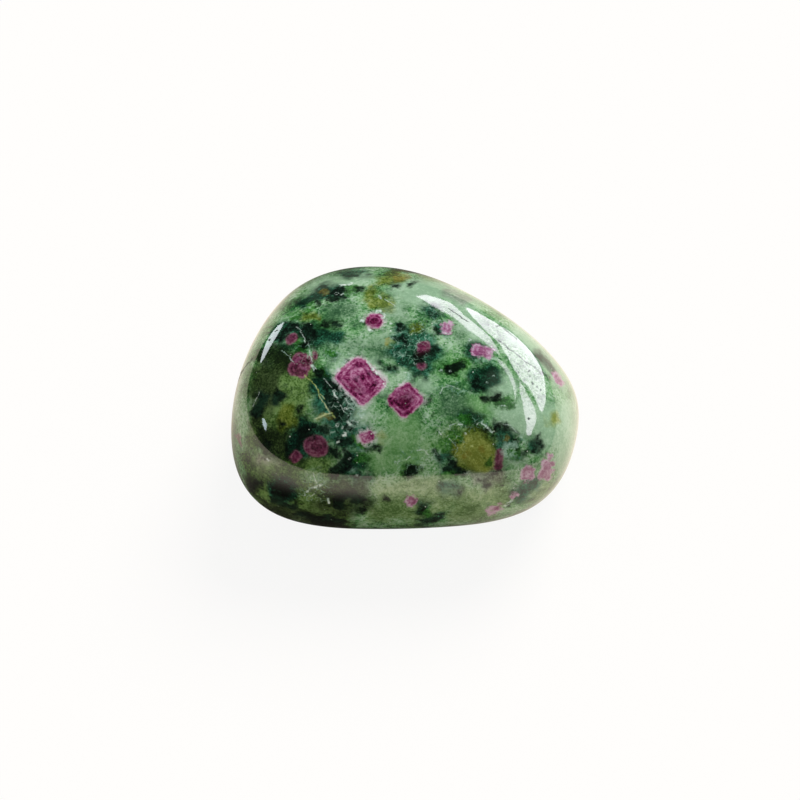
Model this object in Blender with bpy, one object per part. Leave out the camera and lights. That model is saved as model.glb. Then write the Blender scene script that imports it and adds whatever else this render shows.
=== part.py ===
"""Tumbled ruby in zoisite: one polished pebble, lying on its broad flat side.

Metres, +Z up, +X along the pebble's length and -Y towards the viewer.
The origin lies on the resting face, under the middle of the pebble's outline.

The pebble began as a broken chunk with many flats, and tumbling wore its edges round.
It is modelled in that way: each flat has a direction and a distance from the heart, and
a power sum blends them all into one smooth closed skin.
"""

import math

import bmesh
import bpy
from mathutils import Vector

MM = 0.001

# The heart is the point that every flat is measured from, this far above the resting face.
HEART = Vector((0.0, 0.0, 8.5 * MM))

# A higher exponent leaves the worn edges between the flats sharper.
EDGE_SHARPNESS = 6.0

# Each flat of the broken chunk: its azimuth from +X towards +Y and its elevation, both in
# degrees, and its distance from the heart in millimetres.
FLATS = {
    "right end": (-6, -8, 17.2),
    "right slope": (0, 45, 14.8),
    "back right": (51, 25, 11.5),
    "back": (108, 38, 15.2),
    "back slope": (100, 60, 11.8),
    "back underside": (90, -20, 14.0),
    "back left": (160, 13, 15.0),
    "left slope": (190, 42, 21.5),
    "left end": (192, -9, 19.2),
    "left underside": (215, -25, 19.4),
    "front left": (232, 8, 20.0),
    "front": (270, 10, 14.2),
    "front slope": (265, 48, 12.4),
    "front underside": (272, -38, 12.6),
    "right underside": (324, -27, 17.8),
    "crown": (0, 90, 9.3),
    "bottom": (0, -90, 8.8),
}

# An icosphere of this many subdivisions has 5,120 faces, each about 0.9 mm across here.
SKIN_SUBDIVISIONS = 5

# Vertices this close together after the cut are merged, so it leaves no sliver faces.
RIM_MERGE = 0.25 * MM

GREEN_ZOISITE = (0.10, 0.21, 0.11, 1.0)
POLISH_ROUGHNESS = 0.08
ZOISITE_IOR = 1.69


def clear_scene():
    """Remove whatever the startup file holds."""
    for obj in list(bpy.data.objects):
        bpy.data.objects.remove(obj)


def broken_chunk():
    """List each flat as its outward unit normal and its distance from the heart in metres."""
    flats = []
    for azimuth, elevation, distance in FLATS.values():
        turn = math.radians(azimuth)
        tilt = math.radians(elevation)
        level = math.cos(tilt)
        normal = Vector((math.cos(turn) * level, math.sin(turn) * level, math.sin(tilt)))
        flats.append((normal, distance * MM))
    return flats


def worn_reach(ray, flats):
    """Give how far a unit ray from the heart goes before it meets the blended flats."""
    total = 0.0
    for normal, distance in flats:
        share = ray.dot(normal) / distance
        if share > 0.0:
            total += share**EDGE_SHARPNESS
    return total ** (-1.0 / EDGE_SHARPNESS)


def wear_to_flats(mesh):
    """Move each vertex of a unit sphere out to the blended flats."""
    flats = broken_chunk()
    for vertex in mesh.verts:
        ray = vertex.co.normalized()
        vertex.co = HEART + ray * worn_reach(ray, flats)


def cut_resting_face(mesh):
    """Cut the lowest skin off level at the floor and close the cut with one flat face."""
    geometry = mesh.verts[:] + mesh.edges[:] + mesh.faces[:]
    bmesh.ops.bisect_plane(
        mesh, geom=geometry, plane_co=(0.0, 0.0, 0.0), plane_no=(0.0, 0.0, 1.0), clear_inner=True
    )
    bmesh.ops.remove_doubles(mesh, verts=mesh.verts[:], dist=RIM_MERGE)
    rim = [edge for edge in mesh.edges if edge.is_boundary]
    for edge in rim:
        for vertex in edge.verts:
            vertex.co.z = 0.0
    bmesh.ops.edgeloop_fill(mesh, edges=rim)


def centre_outline(mesh):
    """Slide the pebble level until the middle of its outline is over the origin."""
    middle = Vector((0.0, 0.0, 0.0))
    for axis in (0, 1):
        places = [vertex.co[axis] for vertex in mesh.verts]
        middle[axis] = (min(places) + max(places)) / 2
    bmesh.ops.translate(mesh, vec=-middle, verts=mesh.verts[:])


def polished_zoisite():
    """Make the pebble's plain green material."""
    material = bpy.data.materials.new("polished green zoisite")
    material.use_nodes = True
    shader = material.node_tree.nodes["Principled BSDF"]
    shader.inputs["Base Color"].default_value = GREEN_ZOISITE
    shader.inputs["Roughness"].default_value = POLISH_ROUGHNESS
    shader.inputs["Metallic"].default_value = 0.0
    shader.inputs["IOR"].default_value = ZOISITE_IOR
    return material


def make_stone():
    """Build the pebble as one closed solid named stone."""
    mesh = bmesh.new()
    bmesh.ops.create_icosphere(mesh, subdivisions=SKIN_SUBDIVISIONS, radius=1.0)
    wear_to_flats(mesh)
    cut_resting_face(mesh)
    centre_outline(mesh)
    bmesh.ops.recalc_face_normals(mesh, faces=mesh.faces[:])
    data = bpy.data.meshes.new("stone")
    mesh.to_mesh(data)
    mesh.free()
    data.materials.append(polished_zoisite())
    data.shade_smooth()
    data.set_sharp_from_angle(angle=math.radians(12))
    stone = bpy.data.objects.new("stone", data)
    bpy.context.scene.collection.objects.link(stone)
    return stone


def main():
    """Clear the scene and build the pebble."""
    clear_scene()
    make_stone()


main()
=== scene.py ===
"""Looks of a tumbled pebble of ruby in zoisite: its fine skin, its minerals and its studio.

Lengths are in millimetres until they meet Blender, which works in metres.
"""

import logging
import math
from dataclasses import dataclass, field, replace
from enum import Enum

import bpy
import numpy as np
from mathutils import Matrix, Vector, noise


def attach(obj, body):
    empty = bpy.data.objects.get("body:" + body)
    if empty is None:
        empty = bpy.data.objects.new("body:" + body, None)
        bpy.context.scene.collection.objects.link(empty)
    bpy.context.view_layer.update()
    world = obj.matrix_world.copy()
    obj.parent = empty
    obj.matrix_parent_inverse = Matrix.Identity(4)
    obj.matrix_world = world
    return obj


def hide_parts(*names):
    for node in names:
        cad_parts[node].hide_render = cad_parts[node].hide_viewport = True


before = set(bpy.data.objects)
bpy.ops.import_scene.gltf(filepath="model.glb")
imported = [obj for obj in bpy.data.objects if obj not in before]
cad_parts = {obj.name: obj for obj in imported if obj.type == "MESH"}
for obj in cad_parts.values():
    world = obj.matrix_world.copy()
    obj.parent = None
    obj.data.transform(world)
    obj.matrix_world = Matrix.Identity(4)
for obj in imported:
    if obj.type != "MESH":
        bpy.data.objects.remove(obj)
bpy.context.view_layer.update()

log = logging.getLogger("pebble")

MM = 0.001
BODY = "root"
NODE = "stone"
WHITE = "#ffffff"
# Where the first and the last colour of a ramp lie.
RAMP_ENDS = (0.08, 0.92)
# Ending of the name of the attribute that tells how deep a point lies in any of a mineral's grains.
DEPTH = " depth"

Source = bpy.types.Node | bpy.types.NodeSocket
# A block with rounded edges: its centre, its unit axes as rows, its core's half sizes, its rounding.
Block = tuple[np.ndarray, np.ndarray, np.ndarray, float]


def linear(hex_code: str) -> tuple[float, float, float, float]:
    """Turn an sRGB hex colour to linear light.

    Args:
        hex_code: Six hex digits after a hash.

    Returns:
        Red, green, blue and a full alpha.
    """
    channels = []
    for start in (1, 3, 5):
        share = int(hex_code[start : start + 2], 16) / 255
        channels.append(share / 12.92 if share <= 0.04045 else ((share + 0.055) / 1.055) ** 2.4)
    return (*channels, 1.0)


def vertex_rows(mesh: bpy.types.Mesh, name: str) -> np.ndarray:
    """Read a vector of each of a mesh's vertices.

    Args:
        mesh: The mesh.
        name: The vertices' property.

    Returns:
        A row of three numbers for each vertex.
    """
    rows = np.empty(len(mesh.vertices) * 3)
    mesh.vertices.foreach_get(name, rows)
    return rows.reshape(-1, 3)


@dataclass(frozen=True)
class PhotoView:
    """Where the photograph was taken from, with the pebble's heart as its target."""

    elevation_deg: float = 50.0
    distance_mm: float = 300.0
    outline_mm: float = 32.0
    outline_px: float = 350.0
    heart_px: tuple[float, float] = (404.5, 396.0)
    frame_px: float = 800.0
    sensor_mm: float = 36.0
    clip_m: tuple[float, float] = (0.01, 100.0)

    @property
    def mm_per_px(self) -> float:
        """Give the size of a pixel at the heart's distance."""
        return self.outline_mm / self.outline_px

    @property
    def focal_px(self) -> float:
        """Give the focal length in pixels."""
        return self.distance_mm / self.mm_per_px

    def axes(self) -> tuple[np.ndarray, np.ndarray, np.ndarray]:
        """Give the picture's directions in the object's space.

        Returns:
            Unit vectors to the right, up and ahead.
        """
        tilt = math.radians(self.elevation_deg)
        right = np.array((1.0, 0.0, 0.0))
        up = np.array((0.0, math.sin(tilt), math.cos(tilt)))
        ahead = np.array((0.0, math.cos(tilt), -math.sin(tilt)))
        return right, up, ahead

    def eye(self, heart: np.ndarray) -> np.ndarray:
        """Place the lens so that the heart falls on its pixel.

        Args:
            heart: The pebble's heart in millimetres.

        Returns:
            The lens position in millimetres.
        """
        right, up, ahead = self.axes()
        middle = self.frame_px / 2
        aside = (self.heart_px[0] - middle) * self.mm_per_px
        below = (self.heart_px[1] - middle) * self.mm_per_px
        return heart - ahead * self.distance_mm - right * aside + up * below

    def ray(self, x_px: float, y_px: float) -> np.ndarray:
        """Give the unit direction in which a pixel looks.

        Args:
            x_px: Pixels from the frame's left edge.
            y_px: Pixels from the frame's top edge.

        Returns:
            A unit vector.
        """
        right, up, ahead = self.axes()
        middle = self.frame_px / 2
        slant = ahead + right * (x_px - middle) / self.focal_px - up * (y_px - middle) / self.focal_px
        return slant / np.linalg.norm(slant)


@dataclass
class TumbledSkin:
    """The pebble's smooth skin: a broken chunk's flats, blended as tumbling wears them."""

    # Azimuth from +X towards +Y and elevation in degrees, and distance from the heart in mm.
    flats: dict[str, tuple[float, float, float]] = field(
        default_factory=lambda: {
            "right end": (-6, -8, 17.2),
            "right slope": (0, 45, 14.8),
            "back right": (51, 25, 11.5),
            "back": (108, 38, 15.2),
            "back slope": (100, 60, 11.8),
            "back underside": (90, -20, 14.0),
            "back left": (160, 13, 15.0),
            "left slope": (190, 42, 21.5),
            "left end": (192, -9, 19.2),
            "left underside": (215, -25, 19.4),
            "front left": (232, 8, 20.0),
            "front": (270, 10, 14.2),
            "front slope": (265, 48, 12.4),
            "front underside": (272, -38, 12.6),
            "right underside": (324, -27, 17.8),
            "crown": (0, 90, 9.3),
            "bottom": (0, -90, 8.8),
        }
    )
    heart_height_mm: float = 8.5
    edge_sharpness: float = 6.0
    # A ray is searched for the skin this far to both sides of the heart, in steps, then by halving.
    search_mm: float = 24.0
    search_steps: int = 481
    halvings: int = 24
    heart: np.ndarray = field(init=False)
    # Each flat's unit normal and its distance, as rows.
    normals: np.ndarray = field(init=False)
    distances: np.ndarray = field(init=False)

    def __post_init__(self) -> None:
        """Work out each flat's normal, and put the heart on the axis until it is centred."""
        self.heart = np.array((0.0, 0.0, self.heart_height_mm))
        azimuth, elevation = np.radians([flat[:2] for flat in self.flats.values()]).T
        level = np.cos(elevation)
        self.normals = np.stack((np.cos(azimuth) * level, np.sin(azimuth) * level, np.sin(elevation)), 1)
        self.distances = np.array([flat[2] for flat in self.flats.values()])

    def _shares(self, points: np.ndarray) -> np.ndarray:
        """Give how far points lie towards each flat, as a share of the flat's distance."""
        return np.maximum((points - self.heart) @ self.normals.T / self.distances, 0.0)

    def fullness(self, points: np.ndarray) -> np.ndarray:
        """Measure points against the skin: under one is inside, over one is outside.

        Args:
            points: One point or rows of points, in millimetres.

        Returns:
            One number for each point.
        """
        return (self._shares(points) ** self.edge_sharpness).sum(-1) ** (1 / self.edge_sharpness)

    def outward(self, point: np.ndarray) -> np.ndarray:
        """Give the skin's unit normal at a point on it.

        Args:
            point: The point in millimetres.

        Returns:
            A unit vector.
        """
        pull = self._shares(point) ** (self.edge_sharpness - 1) / self.distances
        normal = pull @ self.normals
        return normal / np.linalg.norm(normal)

    def meet(self, eye: np.ndarray, ray: np.ndarray) -> np.ndarray:
        """Find where a ray first meets the skin, or passes closest to the heart if it misses.

        Args:
            eye: Where the ray starts, in millimetres.
            ray: Its unit direction.

        Returns:
            The point in millimetres.
        """
        passing = float((self.heart - eye) @ ray)
        steps = passing + np.linspace(-self.search_mm, self.search_mm, self.search_steps)
        fullness = self.fullness(eye + steps[:, None] * ray)
        inside = np.nonzero(fullness < 1.0)[0]
        if len(inside) == 0:
            return eye + steps[fullness.argmin()] * ray
        far, near = steps[inside[0]], steps[max(inside[0] - 1, 0)]
        for _ in range(self.halvings):
            middle = (far + near) / 2
            if self.fullness(eye + middle * ray) < 1.0:
                far = middle
            else:
                near = middle
        return eye + far * ray


def feed(node: bpy.types.Node, links: dict) -> None:
    """Set a node's inputs, or link them.

    Args:
        node: The node.
        links: For each input, by name or number, a value, a socket or the node that feeds it.
    """
    for key, value in links.items():
        if isinstance(key, int):
            socket = node.inputs[key]
        else:
            socket = next(entry for entry in node.inputs if entry.enabled and entry.name == key)
        if isinstance(value, bpy.types.Node):
            value = next(outlet for outlet in value.outputs if outlet.enabled)
        if isinstance(value, bpy.types.NodeSocket):
            node.id_data.links.new(value, socket)
        else:
            socket.default_value = value


def add(tree: bpy.types.NodeTree, kind: str, links: dict | None = None, **settings: object) -> bpy.types.Node:
    """Add a node with its settings and links.

    Args:
        tree: The tree that gets the node.
        kind: The node's type, without its common prefix.
        links: What feeds its inputs.
        **settings: The node's own properties.

    Returns:
        The new node.
    """
    node = tree.nodes.new("ShaderNode" + kind)
    for name, value in settings.items():
        setattr(node, name, value)
    feed(node, links or {})
    return node


def spread(ramp: bpy.types.ColorRamp, colours: tuple[str, ...]) -> None:
    """Space colours evenly over a ramp.

    Args:
        ramp: The ramp, changed in place.
        colours: Its colours as hex codes.
    """
    points = ramp.elements
    while len(points) < len(colours):
        points.new(0.5)
    first, last = RAMP_ENDS
    for number, colour in enumerate(colours):
        points[number].position = first + (last - first) * number / (len(colours) - 1)
        points[number].color = linear(colour)


@dataclass(frozen=True)
class Fade:
    """How one value passes to another, while what it follows grows from a start to an end."""

    start: float = 0.0
    end: float = 1.0
    first: float = 0.0
    last: float = 1.0

    def along(self, value: Source) -> dict[str, object]:
        """Lay the fade along a value.

        Args:
            value: What the fade follows.

        Returns:
            What feeds the node that works the fade out.
        """
        ends = {"From Min": self.start, "From Max": self.end, "To Min": self.first, "To Max": self.last}
        return {"Value": value, **ends}


@dataclass(frozen=True)
class Grain:
    """A crystal, a patch or a piece of a vein: a block with rounded edges, set in the rock."""

    x_px: float
    y_px: float
    length_mm: float
    breadth_mm: float
    turn_deg: float = 0.0
    # Share of the half breadth that its rounding takes: 1 gives a pill.
    rounding: float = 0.7


class Gaps(Enum):
    """What breaks a mineral up."""

    NONE = "none"
    GRIT = "it comes and goes with the rock's grit"
    NET = "only a net of hair veins is left of it"


@dataclass(frozen=True)
class Mineral:
    """One mineral: where it lies, its mottled colours, and how its edge ends."""

    name: str
    # From its darkest grains to its palest.
    colours: tuple[str, ...]
    grains: tuple[Grain, ...]
    # How wide the edge fades, and how far the rock's grit pushes it in and out.
    fade_mm: float = 0.1
    ragged_mm: float = 0.1
    cover: float = 1.0
    # How many grains are strewn where the photograph doesn't show, and their least and largest size.
    strewn: int = 0
    sizes_mm: tuple[float, float] = (0.4, 1.6)
    # The mineral whose grains the strewn ones keep close to, if any.
    beside: str = ""
    # Crystals with crisp faces and hair veins are finer than the mesh, so nodes measure them.
    crisp: bool = False
    gaps: Gaps = Gaps.NONE
    # Whether its crystals grew in coats, and whether a broken pale rim lies round them.
    zoned: bool = False
    rimmed: bool = False


OLIVE_ROCK = Mineral(
    "zoisite stained olive",
    ("#1c300c", "#456328", "#749550"),
    (
        Grain(286, 395, 5.4, 9.0, -8, 0.8),
        Grain(300, 440, 5.0, 4.0, 0, 0.9),
        Grain(256, 410, 1.6, 8.0, -6, 0.9),
        Grain(300, 500, 9.5, 4.2, -12, 0.9),
        Grain(312, 462, 4.0, 1.6, -10, 0.9),
        Grain(275, 472, 6.0, 2.8, -25, 0.9),
        Grain(455, 440, 2.6, 1.8, 0, 0.9),
    ),
    fade_mm=0.8,
    ragged_mm=0.9,
    cover=0.92,
    strewn=9,
    sizes_mm=(3.0, 9.0),
)

GRASS_ROCK = Mineral(
    "zoisite tinted grass green",
    ("#2b6426", "#4b8645", "#70a763"),
    (
        Grain(452, 405, 1.8, 2.2, 0),
        Grain(438, 410, 1.2, 1.4, 0),
        Grain(443, 362, 1.7, 2.6, -20),
        Grain(466, 372, 1.6, 1.4, 0),
        Grain(452, 473, 1.2, 0.9, 0),
        Grain(330, 330, 2.6, 2.6, 0),
    ),
    fade_mm=0.6,
    ragged_mm=0.9,
    cover=0.6,
    strewn=14,
    sizes_mm=(1.5, 4.5),
)

FRESH_ROCK = Mineral(
    "fresh green zoisite",
    ("#5e9455", "#76a86c", "#93bb89"),
    (
        Grain(398, 458, 4.4, 2.4, 0, 0.9),
        Grain(478, 409, 2.6, 1.5, 0, 0.9),
        Grain(402, 432, 3.4, 2.4, -20, 0.9),
        Grain(392, 444, 2.4, 1.6, 0, 0.9),
        Grain(430, 444, 2.4, 1.4, 0, 0.9),
    ),
    fade_mm=0.8,
    ragged_mm=0.7,
    cover=0.88,
    strewn=10,
    sizes_mm=(1.5, 4.0),
)

GREY_ROCK = Mineral(
    "grey-green zoisite",
    ("#2a4a33", "#476b4c", "#749675"),
    (
        Grain(382, 346, 3.4, 2.4, 0, 0.9),
        Grain(345, 348, 3.4, 1.5, 0, 0.9),
        Grain(362, 343, 2.6, 1.4, 0, 0.9),
        Grain(400, 314, 2.4, 1.6, 0, 0.9),
        Grain(461, 332, 2.2, 1.4, -45, 0.9),
        Grain(451, 402, 2.2, 2.2, 0, 0.9),
        Grain(345, 310, 2.4, 1.6, 0, 0.9),
    ),
    fade_mm=0.9,
    ragged_mm=0.9,
    cover=0.82,
    strewn=12,
    sizes_mm=(1.5, 4.0),
)

# Milky zoisite, partly painted light: paler grains down the right side, where the window light falls, and
# along the window highlights.
MILKY_ROCK_AND_PAINTED_LIGHT = Mineral(
    "milky zoisite and painted light",
    ("#98bc9a", "#a2c3a3", "#aecbaf"),
    (
        Grain(340, 283, 5.2, 0.9, 8),
        Grain(418, 296, 4.4, 2.2, -10),
        Grain(345, 365, 1.6, 0.9, 45),
        Grain(379, 372, 0.9, 2.6, 45),
        Grain(398, 378, 1.2, 0.9, 30),
        Grain(427, 384, 1.1, 0.9, 0),
        Grain(356, 415, 2.0, 1.6, 30),
        Grain(520, 415, 3.6, 2.6, 0),
        Grain(524, 425, 3.2, 1.4, 10),
        Grain(505, 388, 1.6, 1.8, 0),
        Grain(568, 437, 2.0, 6.5, 0),
        Grain(520, 460, 1.6, 1.2, 0),
        Grain(470, 325, 2.4, 1.0, -45),
        Grain(395, 309, 1.6, 1.2, 0),
        Grain(535, 345, 2.2, 5.5, 50),
        Grain(556, 373, 1.3, 3.0, 35),
        Grain(551, 425, 3.0, 3.6, 0),
        Grain(455, 300, 4.5, 1.0, -28),
    ),
    fade_mm=0.8,
    ragged_mm=0.8,
    cover=0.8,
    strewn=44,
    sizes_mm=(1.0, 4.5),
)

STRAW_ROCK = Mineral(
    "straw-coloured zoisite",
    ("#5a7842", "#859f6b", "#a6bb8a"),
    (
        Grain(412, 495, 7.2, 3.0, -4, 0.9),
        Grain(478, 498, 4.6, 2.2, 10, 0.9),
        Grain(395, 512, 5.0, 1.4, 0, 0.9),
        Grain(468, 514, 4.0, 1.2, 10, 0.9),
        Grain(540, 492, 2.0, 1.2, 35, 0.9),
    ),
    fade_mm=0.8,
    ragged_mm=0.8,
    cover=0.7,
    strewn=12,
    sizes_mm=(2.0, 6.0),
)

PALE_EPIDOTE = Mineral(
    "pale epidote",
    ("#727f32", "#8e9b49", "#b4be70"),
    (
        Grain(480, 452, 2.3, 2.8, 20, 0.9),
        Grain(468, 446, 1.6, 1.5, 0, 0.9),
        Grain(556, 419, 1.0, 0.8, -35),
    ),
    fade_mm=0.4,
    ragged_mm=0.4,
    cover=0.9,
    strewn=8,
    sizes_mm=(0.6, 2.4),
)

MAUVE_ROCK = Mineral(
    "mauve feldspar",
    ("#574a4c", "#7f7378", "#a89ba0"),
    (
        Grain(484, 476, 2.6, 1.5, 25),
        Grain(470, 471, 1.4, 0.9, 0),
        Grain(486, 487, 1.3, 0.5, 80),
        Grain(263, 459, 1.9, 0.9, 0),
        Grain(455, 297, 2.0, 0.5, -25),
        Grain(465, 459, 0.7, 0.5, 0),
    ),
    fade_mm=0.4,
    ragged_mm=0.4,
    cover=0.5,
    strewn=8,
    sizes_mm=(0.8, 2.4),
)

DARK_HAZE = Mineral(
    "blue-green haze of fine hornblende",
    ("#02140d", "#073728", "#297058"),
    (
        Grain(408, 343, 2.6, 2.2, 0),
        Grain(404, 358, 1.8, 1.6, 0),
        Grain(429, 312, 1.9, 1.1, -20),
        Grain(441, 331, 1.1, 1.3, 0),
        Grain(437, 349, 1.5, 1.4, 0),
        Grain(419, 366, 1.6, 2.0, 0),
        Grain(392, 371, 1.4, 0.9, 0),
        Grain(399, 328, 1.0, 1.1, 0),
        Grain(484, 378, 2.8, 1.5, 10),
        Grain(476, 350, 0.9, 1.6, 0),
        Grain(320, 338, 1.4, 1.2, 0),
        Grain(338, 335, 1.5, 0.9, 0),
        Grain(333, 353, 1.0, 0.5, 0),
        Grain(332, 292, 2.4, 1.3, 0),
        Grain(308, 300, 1.4, 0.5, 35),
        Grain(313, 437, 3.7, 3.2, 0),
        Grain(346, 436, 2.9, 2.6, 20),
        Grain(340, 400, 2.4, 2.8, -40),
        Grain(324, 378, 1.0, 1.2, 0),
        Grain(467, 418, 1.6, 0.9, -20),
        Grain(506, 440, 2.0, 1.9, 0),
        Grain(533, 446, 1.2, 1.4, 0),
        Grain(517, 458, 1.6, 0.9, 0),
        Grain(528, 488, 2.4, 1.6, 45),
        Grain(440, 456, 1.5, 1.4, 0),
        Grain(455, 468, 2.0, 1.0, -10),
        Grain(424, 508, 1.0, 1.0, 0),
        Grain(436, 519, 2.0, 0.5, 10),
        Grain(364, 478, 1.8, 0.6, -10),
        Grain(350, 466, 2.2, 1.5, 40),
        Grain(283, 491, 2.1, 1.4, 0),
        Grain(282, 336, 1.2, 2.2, -30),
        Grain(300, 330, 2.4, 1.4, -10),
        Grain(547, 362, 0.3, 1.6, 45),
        Grain(352, 272, 2.2, 0.7, 0),
        Grain(332, 398, 3.2, 4.6, 28),
        Grain(347, 434, 4.0, 2.7, -20),
        Grain(412, 350, 4.6, 3.6, -30),
        Grain(450, 486, 1.8, 1.0, 10),
    ),
    fade_mm=0.5,
    ragged_mm=0.6,
    cover=0.92,
    strewn=70,
    sizes_mm=(0.9, 3.6),
)

# Dark olive zoisite with hornblende, partly painted shade: long dark strips along the lower left edge, where
# the stone turns under, away from the light.
DARK_OLIVE_ROCK_AND_PAINTED_SHADE = Mineral(
    "zoisite dark with olive hornblende",
    ("#0e180a", "#1d2c12", "#3b4a2c"),
    (
        Grain(267, 378, 2.5, 6.4, -14, 0.9),
        Grain(256, 410, 1.2, 4.0, -6, 0.9),
        Grain(288, 448, 4.0, 1.4, -22, 0.9),
        Grain(270, 440, 1.8, 2.4, 30, 0.9),
        Grain(290, 425, 1.6, 1.0, 0, 0.9),
        Grain(300, 515, 8.0, 1.8, -14, 0.9),
        Grain(310, 518, 6.5, 1.6, -12, 0.9),
        Grain(342, 512, 3.2, 1.4, -8, 0.9),
        Grain(352, 498, 3.7, 3.2, 15, 0.5),
        Grain(255, 484, 1.4, 1.8, -40),
        Grain(262, 471, 1.0, 1.2, -40),
        Grain(322, 505, 2.2, 1.2, -10),
        Grain(283, 491, 2.2, 1.6, 0, 0.9),
        Grain(318, 400, 0.8, 2.4, 15, 0.9),
    ),
    fade_mm=0.6,
    ragged_mm=0.6,
    cover=0.88,
    strewn=10,
    sizes_mm=(1.5, 4.0),
)

EPIDOTE = Mineral(
    "epidote",
    ("#2f3d0a", "#566a1c", "#8a9846"),
    (
        Grain(479, 449, 3.0, 3.4, 0, 0.9),
        Grain(465, 445, 2.1, 1.8, 20, 0.9),
        Grain(470, 463, 2.4, 1.6, -10, 0.9),
        Grain(284, 414, 1.4, 1.9, 0),
        Grain(378, 301, 2.9, 1.0, -12),
        Grain(388, 281, 3.2, 0.8, 22),
        Grain(370, 294, 0.9, 1.3, 0),
        Grain(308, 317, 1.5, 0.6, 0),
        Grain(417, 327, 1.1, 0.5, 10),
        Grain(389, 340, 0.6, 0.3, 20),
        Grain(382, 436, 0.5, 0.6, 0),
    ),
    fade_mm=0.4,
    ragged_mm=0.5,
    cover=0.9,
    strewn=22,
    sizes_mm=(0.7, 2.8),
)

CHLORITE = Mineral(
    "chlorite",
    ("#123a0e", "#28661d", "#53943e"),
    (
        Grain(351, 291, 1.3, 0.6, 0),
        Grain(457, 438, 1.1, 0.5, -20),
        Grain(489, 463, 0.6, 0.5, 0),
        Grain(505.5, 401.5, 1.7, 0.8, -8),
        Grain(448, 473, 1.4, 0.6, 10),
        Grain(332, 353, 0.9, 0.4, 0),
        Grain(310, 309, 0.9, 0.4, 40),
        Grain(297, 317, 0.6, 0.4, 30),
        Grain(300, 346, 1.1, 0.8, -50),
        Grain(321, 369, 0.5, 0.6, 0),
        Grain(357, 441, 1.2, 0.6, -20),
        Grain(363, 455, 1.0, 0.7, 20),
        Grain(408, 471, 1.2, 1.1, 45),
        Grain(445, 443, 1.0, 0.8, 0),
        Grain(515, 457, 1.2, 0.5, 0),
        Grain(432, 446, 1.0, 0.5, 10),
        Grain(464, 418, 1.2, 0.6, -20),
        Grain(426, 512, 0.9, 0.5, -30),
        Grain(458, 366, 2.3, 1.1, 28),
    ),
    fade_mm=0.25,
    ragged_mm=0.4,
    cover=0.85,
    strewn=34,
    sizes_mm=(0.5, 1.6),
    beside="blue-green haze of fine hornblende",
)

MUTED_RUBY = Mineral(
    "ruby under zoisite",
    ("#300a1c", "#642545", "#8f586f"),
    (
        Grain(300.5, 365, 2.1, 1.75, 70, 0.6),
        Grain(291.5, 338.5, 1.1, 0.75, 35, 1.0),
        Grain(316, 446, 2.2, 1.8, -15, 1.0),
        Grain(295.5, 456.5, 1.0, 0.8, 45, 0.4),
        Grain(315, 355.5, 0.35, 0.7, 10),
        Grain(421.5, 366, 0.75, 0.6, 0, 0.9),
        Grain(424, 347, 1.15, 1.0, 10, 0.8),
        Grain(499, 460, 1.8, 0.66, 80, 0.8),
        Grain(239, 441, 1.1, 0.12, -60),
        Grain(239, 436, 0.4, 0.16, -70),
    ),
    fade_mm=0.14,
    ragged_mm=0.1,
    cover=0.92,
    strewn=16,
    sizes_mm=(0.5, 1.5),
    crisp=True,
    zoned=True,
)

RUBY = Mineral(
    "ruby",
    ("#36041f", "#7c2656", "#a65c84", "#cc9ab6"),
    (
        Grain(360.5, 380, 3.75, 3.1, -46, 0.3),
        Grain(405.5, 400, 2.65, 2.4, 42, 0.45),
        Grain(374.5, 320.5, 1.5, 1.3, 0, 0.9),
        Grain(366.5, 437, 1.25, 0.95, 20, 0.8),
    ),
    fade_mm=0.12,
    ragged_mm=0.15,
    strewn=17,
    sizes_mm=(0.8, 3.2),
    crisp=True,
    zoned=True,
    rimmed=True,
)

DEEP_HEARTS = Mineral(
    "deep crimson hearts",
    ("#2c0012", "#580a32", "#78204c"),
    (
        Grain(406, 400, 1.3, 1.1, 30, 0.9),
        Grain(353, 386, 0.5, 0.7, 30, 0.9),
        Grain(424, 347, 0.4, 0.4, 0, 0.9),
        Grain(375, 322, 0.6, 0.4, 0, 0.9),
    ),
    fade_mm=0.5,
    ragged_mm=0.3,
    cover=0.75,
    strewn=6,
    sizes_mm=(0.3, 0.6),
    beside="ruby",
)

# Pale ruby, partly painted reflection: rubies paled beside the window highlights and in the band where the
# floor mirrors.
PALE_RUBY_AND_PAINTED_REFLECTION = Mineral(
    "pale ruby and painted reflection",
    ("#72325a", "#a2628a", "#ccacc4"),
    (
        Grain(446.8, 327, 0.85, 1.05, 0, 0.7),
        Grain(482.5, 351.5, 1.75, 1.0, -12, 0.5),
        Grain(558, 379, 1.3, 0.6, -52, 0.8),
        Grain(528, 474, 1.2, 1.3, 0, 0.7),
        Grain(546.5, 470, 1.1, 1.8, -15, 0.5),
        Grain(549.5, 459, 0.35, 0.9, 0, 0.8),
        Grain(411, 501.5, 0.85, 0.85, 45, 0.6),
        Grain(495, 509.5, 1.4, 0.55, 25, 0.5),
        Grain(514.5, 495, 0.8, 0.3, 45, 0.6),
    ),
    fade_mm=0.16,
    ragged_mm=0.32,
    cover=0.92,
    strewn=8,
    sizes_mm=(0.6, 1.6),
    crisp=True,
    zoned=True,
)

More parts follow.
